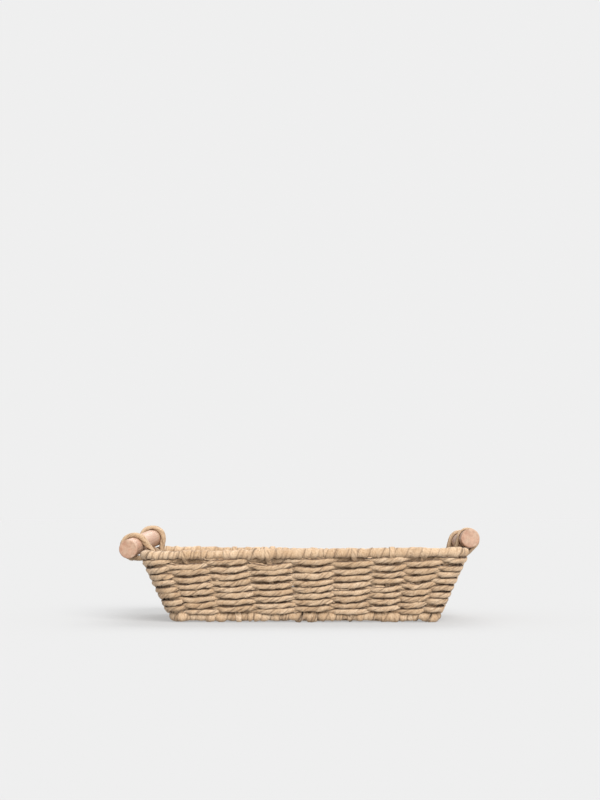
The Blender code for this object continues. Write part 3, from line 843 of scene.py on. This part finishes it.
def dowel_axis(node):
    """A dowel's middle, direction (towards the back), length and radius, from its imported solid."""
    points = node_points(node)
    middle = (points.max(0) + points.min(0)) / 2
    _, _, directions = np.linalg.svd(points - points.mean(0), full_matrices=False)
    axis = directions[0] * np.sign(directions[0][1])
    along = (points - middle) @ axis
    middle = middle + axis * (along.max() + along.min()) / 2
    away = np.linalg.norm((points - middle) - np.outer((points - middle) @ axis, axis), axis=1)
    return middle, axis, along.max() - along.min(), away.max()


def dowel(end):
    """A sanded wooden rod: its profile turned round its axis, with softened rims and saw-cut ends."""
    node = end + "_dowel"
    middle, axis, length, radius = dowel_axis(node)
    across = unit(np.cross(axis, UP))
    upright = np.cross(across, axis)
    rounding = [(-length / 2 + DOWEL_EDGE * (1 - math.cos(a)), radius - DOWEL_EDGE * (1 - math.sin(a)))
                for a in np.radians(np.linspace(0, 90, 7))]
    flat = [(-length / 2, r) for r in np.linspace(0.6, radius - DOWEL_EDGE - 0.4, 6)]
    half = flat + rounding
    straight_end = length / 2 - DOWEL_EDGE - 2
    straight = [(p, radius) for p in np.linspace(-straight_end, straight_end, 40)]
    profile = np.array(half + straight + [(-p, r) for p, r in reversed(half)])
    sides = DOWEL_SIDES
    theta = np.arange(sides) * TAU / sides
    seed = 700 if end == "left" else 720
    along, angle = np.meshgrid(profile[:, 0], theta, indexing="ij")
    swell = 0.07 * skin_noise(along, angle, 40.0, 3, seed) * (profile[:, 1:2] / radius)
    reach = profile[:, 1:2] + swell
    x, y = reach * np.cos(angle), reach * np.sin(angle)
    ripple = 0.06 * skin_noise(x, angle, 2.0, 12, seed + 1)
    flat_end = np.sign(along) * (np.abs(profile[:, :1]) >= length / 2 - 1e-6) * ripple
    points = middle + (along + flat_end)[..., None] * axis
    points = points + x[..., None] * across + y[..., None] * upright
    shifted = np.stack([x + GRAIN_SHIFT[0], y + GRAIN_SHIFT[1], along], axis=-1)
    rings = len(profile)
    index = np.arange(rings * sides).reshape(rings, sides)
    here, after = index[:-1], index[1:]
    quads = np.stack([here, after, np.roll(after, -1, axis=1), np.roll(here, -1, axis=1)], axis=-1)
    end_middles = [middle - axis * length / 2, middle + axis * length / 2]
    vertices = np.concatenate([points.reshape(-1, 3), end_middles])
    fibre_ends = [[*GRAIN_SHIFT, -length / 2], [*GRAIN_SHIFT, length / 2]]
    fibre = np.concatenate([shifted.reshape(-1, 3), fibre_ends])
    first = np.stack([np.full(sides, rings * sides), index[0], np.roll(index[0], -1)], axis=1)
    last = np.stack([np.full(sides, rings * sides + 1), np.roll(index[-1], -1), index[-1]], axis=1)
    faces = [quads.reshape(-1, 4), np.concatenate([first, last])]
    if np.dot(np.cross(across, upright), axis) > 0:
        faces = [f[:, ::-1] for f in faces]
    make_object(node + "_rod", vertices, faces, {"fibre": fibre}, WOOD, end + "_grip", [node])


def belt(towards, rim_radius, dowel_radius):
    """A belt's outline round the rim wire, at (0, 0), and the dowel. Gives its points, 1 for each that lies
    on the rim and 0 for each on the dowel, and the outward direction at each."""
    distance = np.hypot(*towards)
    heading = math.atan2(towards[1], towards[0])
    tangent = math.acos((rim_radius - dowel_radius) / distance)
    round_dowel = heading + np.linspace(-tangent, tangent, 40)
    round_rim = heading + np.linspace(tangent, TAU - tangent, 24)
    on_dowel = towards + dowel_radius * np.column_stack([np.cos(round_dowel), np.sin(round_dowel)])
    on_rim = rim_radius * np.column_stack([np.cos(round_rim), np.sin(round_rim)])
    share = np.concatenate([np.zeros(len(round_dowel)), np.ones(len(round_rim))])
    outward = np.concatenate([round_dowel, round_rim])
    return np.concatenate([on_dowel, on_rim]), share, np.column_stack([np.cos(outward), np.sin(outward)])


def lashing(end, loop, seed):
    """Two turns of rope round the rim and a dowel, lying side by side with a slight lean."""
    node = f"{end}_{loop}_loop"
    points = node_points(node)
    y = (points[:, 1].max() + points[:, 1].min()) / 2
    sign = -1 if end == "left" else 1
    rim_x = MIDDLE[0] + sign * RIM_HALF[0]
    rim_z = (warp_terms(np.array([rim_x]), np.array([y])) @ RIM_WARP)[0]
    middle, axis, _, radius = dowel_axis(end + "_dowel")
    thick = LASHING_HALF_THICKNESS[f"{end}_{loop}"]
    for turn, side in enumerate((-1, 1)):
        here = y + side * LASHING_TURN_PLACE
        centre = middle + axis * (here - middle[1]) / axis[1]
        towards = np.array([(centre[0] - rim_x) * sign, centre[2] - rim_z])
        parts = belt(towards, LASHING_RIM_RADIUS + 0.4 * turn, radius + thick + 0.1)
        belt_line, share, outward = (closed_loop(part) for part in parts)
        line, share, outward = resampled(belt_line, 1.0, share, outward)
        line, share, outward = line[:-1], share[:-1], outward[:-1]
        for _ in range(6):
            share = (np.roll(share, 1) + 2 * share + np.roll(share, -1)) / 4
        phase = TAU * np.arange(len(line)) / len(line)
        lean = 0.5 * np.sin(phase + 1.3 * turn + seed) + side * LASHING_SPREAD * share
        place = np.column_stack([rim_x + sign * line[:, 0], here + lean, rim_z + line[:, 1]])
        out = np.column_stack([sign * outward[:, 0], np.zeros(len(line)), outward[:, 1]])
        if sign < 0:
            place, out, share = place[::-1], out[::-1], share[::-1]
        wobble = smooth_noise(np.arange(len(line)), 9.0, seed + turn)
        at_rim = LASHING_RIM_HALF_THICKNESS + 0.35 * turn
        half_out = thick + (at_rim - thick) * share + 0.12 * wobble * (1 - share)
        waist = 4 * share * (1 - share)  # between the dowel and the rim, where the rope is pushed together
        half_out += 0.8 * waist
        place -= out * (0.6 * waist)[:, None]
        half_side = LASHING_HALF_WIDTH + 0.1 * share + 0.2 * wobble
        rope(f"{node}_turn_{turn + 1}", place, out, half_out, half_side, LOOP_LOOK, seed + 11 * turn,
             (end + "_loops", [node]), closed=True)


# ---------------------------------------------------------------- assembly


def wraps():
    """The rope wound on the rim and the one on the base edge."""
    rim, base, normals, _ = outline(1.0)
    ends = [MIDDLE[0] + sign * RIM_HALF[0] for sign in (-1, 1)]
    lashings = [node_points(f"left_{loop}_loop")[:, 1].mean() for loop in ("front", "back")]

    def places(points, along):
        """x and y at distances along a loop of points."""
        line = closed_loop(points)
        s = run_length(line)
        return np.interp(along, s, line[:, 0]), np.interp(along, s, line[:, 1])

    def rim_shape(along, _):
        """Smoother on the end walls, and pressed flat under the lashings."""
        x, y = places(rim, along)
        from_end = np.min([np.abs(x - end) for end in ends], axis=0)
        at_end = np.clip(1 - (from_end - 3) / 8, 0, 1)
        nearest = np.min([np.abs(y - place) for place in lashings], axis=0)
        squeeze = at_end * np.clip(1 - (nearest - LASHING_REACH) / 4, 0, 1)
        swell = 0.25 * (x - MIDDLE[0]) / RIM_HALF[0]
        radius = RIM_WRAP_RADIUS + swell * (1 - at_end) - 0.25 * at_end - 0.45 * squeeze
        uneven = 1.35 - 0.85 * at_end - 0.5 * squeeze
        return radius, uneven, 1 - 0.12 * at_end - 0.42 * squeeze

    def base_shape(along, angle):
        """Uneven underneath, and thicker at the left end."""
        x, _ = places(base[:, :2], along)
        thicker = np.clip((MIDDLE[0] - BASE_HALF[0] + 14 - x) / 14, 0, 1)
        under = np.clip(0.4 - np.sin(angle), 0, 1)
        bulge = 2.0 * under * smooth_noise(along, 14.0, 851)
        return BASE_WRAP_RADIUS + 1.2 * thicker + bulge, 1.0, 1 + 0.15 * thicker

    wound("rim_wrap_rope", rim, normals, rim_shape, RIM_WRAP_LEAD, RIM_WRAP_HALF_THICKNESS, WRAP_LOOK, 800,
          ("basket", ["rim_wrap"]))
    wound("base_wrap_rope", base + UP * BASE_WRAP_RAISED, normals, base_shape, BASE_WRAP_LEAD,
          BASE_WRAP_HALF_THICKNESS, BASE_WRAP_LOOK, 850, ("basket", ["base_wrap"]))


def build():
    weaver("wall_weaver_a", FIRST_ROW_Z, -1, TAIL_STATIONS, 0, WEAVER_A_LAST_RISE, 100)
    weaver("wall_weaver_b", FIRST_ROW_Z + ROW_PITCH, 1, 0, TAIL_STATIONS, WEAVER_B_LAST_RISE, 200)
    wraps()
    stakes()
    base_weave()
    for number, end in enumerate(("left", "right")):
        dowel(end)
        lashing(end, "front", 500 + 40 * number)
        lashing(end, "back", 520 + 40 * number)
    for node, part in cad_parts.items():
        if node.endswith("_wire") or node.startswith("corner_post"):
            part.data.materials.clear()
            part.data.materials.append(WIRE)


def stage():
    """A pale floor that runs out of sight, as bright as the even light round it, and two broad lamps: one
    from behind and above, one from the front."""
    floor_material, _, _, shader = new_material("pale_floor")
    shader.inputs["Base Color"].default_value = (FLOOR_ALBEDO, FLOOR_ALBEDO, FLOOR_ALBEDO, 1)
    shader.inputs["Roughness"].default_value = 1.0
    shader.inputs["Specular IOR Level"].default_value = 0.0
    shader.inputs["Emission Color"].default_value = (1, 1, 1, 1)
    shader.inputs["Emission Strength"].default_value = FLOOR_GLOW
    mesh = bpy.data.meshes.new("floor")
    corners = [(x * FLOOR_REACH, y * FLOOR_REACH, 0) for x, y in ((-1, -1), (1, -1), (1, 1), (-1, 1))]
    mesh.from_pydata(corners, [], [(0, 1, 2, 3)])
    mesh.materials.append(floor_material)
    floor = bpy.data.objects.new("floor", mesh)
    bpy.context.scene.collection.objects.link(floor)

    world = bpy.data.worlds.new("studio")
    world.use_nodes = True
    background = world.node_tree.nodes["Background"]
    background.inputs["Color"].default_value = (1, 1, 1, 1)
    background.inputs["Strength"].default_value = WORLD_LIGHT
    bpy.context.scene.world = world

    for name, energy, spread, pitch, turn in LAMPS:
        lamp = bpy.data.lights.new(name, "SUN")
        lamp.energy = energy
        lamp.angle = math.radians(spread)
        lamp_object = bpy.data.objects.new(name, lamp)
        lamp_object.rotation_euler = (math.radians(pitch), 0, math.radians(turn))
        bpy.context.scene.collection.objects.link(lamp_object)


def camera():
    data = bpy.data.cameras.new("camera")
    data.lens = CAMERA_LENS
    data.sensor_width = 36.0
    data.clip_start = 0.05
    data.clip_end = 200.0
    place = bpy.data.objects.new("camera", data)
    front = MIDDLE[1] - RIM_HALF[1]
    place.location = (MIDDLE[0] * MM, (front - CAMERA_BACK) * MM, CAMERA_HEIGHT * MM)
    place.rotation_euler = (math.radians(90) + CAMERA_PITCH, 0, CAMERA_YAW)
    bpy.context.scene.collection.objects.link(place)
    bpy.context.scene.camera = place
    bpy.context.scene.view_settings.view_transform = "Standard"


build()
stage()
camera()
